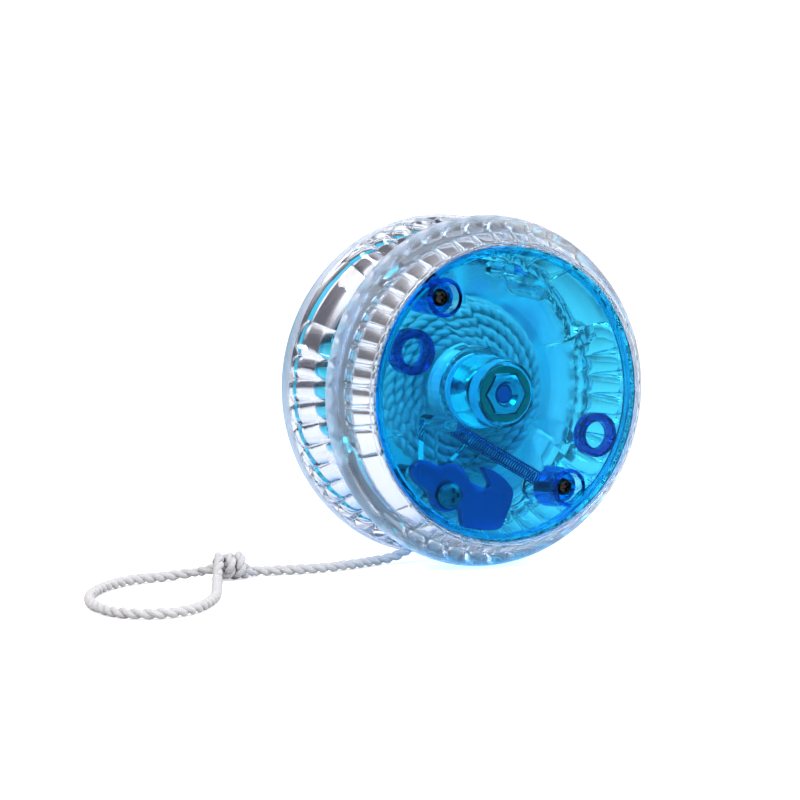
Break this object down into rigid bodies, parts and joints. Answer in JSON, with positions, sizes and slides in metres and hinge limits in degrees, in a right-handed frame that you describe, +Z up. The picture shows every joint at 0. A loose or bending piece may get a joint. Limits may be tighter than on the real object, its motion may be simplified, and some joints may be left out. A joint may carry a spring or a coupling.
{
  "type": "clutch yo-yo",
  "caption": "Clear scalloped yo-yo with blue see-through caps, a clutch on each side of a free-turning spool, and a string with a finger loop.",
  "frame": {"origin": "middle of the axle, halfway between the two halves", "axes": "+Y along the spin axis towards the rear half, +Z up, +X to the right seen from the front half"},
  "size_m": [0.1009, 0.0478, 0.057],
  "materials": {
    "clear_plastic": "gloss",
    "blue_clear_plastic": "gloss",
    "clutch_plastic": "gloss",
    "spool_plastic": "gloss",
    "polished_steel": "polished",
    "dark_steel": "satin",
    "green_plastic": "matte",
    "cotton_string": "matte"
  },
  "bodies": {
    "yoyo": {"axle": "polished_steel", "front_shell": "clear_plastic", "front_cap": "blue_clear_plastic", "front_cap_screw_1": "dark_steel", "front_cap_screw_2": "dark_steel", "front_nut_holder": "green_plastic", "front_nut": "polished_steel", "front_pivot_screw": "dark_steel", "front_spring": "polished_steel", "rear_shell": "clear_plastic", "rear_cap": "blue_clear_plastic", "rear_cap_screw_1": "dark_steel", "rear_cap_screw_2": "dark_steel", "rear_nut_holder": "green_plastic", "rear_nut": "polished_steel", "rear_pivot_screw": "dark_steel", "rear_spring": "polished_steel", "string_tail": "cotton_string", "string_knot": "cotton_string", "finger_loop": "cotton_string"},
    "spool": {"spool": "spool_plastic", "string_winding": "cotton_string"},
    "front_clutch": {"front_brake_arm": "clutch_plastic", "front_flyweight": "polished_steel"},
    "rear_clutch": {"rear_brake_arm": "clutch_plastic", "rear_flyweight": "polished_steel"}
  },
  "joints": [
    {"name": "spool_spin", "type": "hinge", "parent": "yoyo", "child": "spool", "pos_m": [0, 0, 0], "axis": [0, 1, 0], "continuous": true},
    {"name": "front_clutch_swing", "type": "hinge", "parent": "yoyo", "child": "front_clutch", "pos_m": [-0.008, -0.0084, -0.0158], "axis": [0, 1, 0], "range_deg": [0, 5], "stiffness_Nm_per_rad": 0.004, "springref_deg": -20.05, "deforming": ["front_spring"]},
    {"name": "rear_clutch_swing", "type": "hinge", "parent": "yoyo", "child": "rear_clutch", "pos_m": [-0.008, 0.0084, 0.0158], "axis": [0, -1, 0], "range_deg": [0, 5], "stiffness_Nm_per_rad": 0.004, "springref_deg": -20.05, "deforming": ["rear_spring"]}
  ]
}
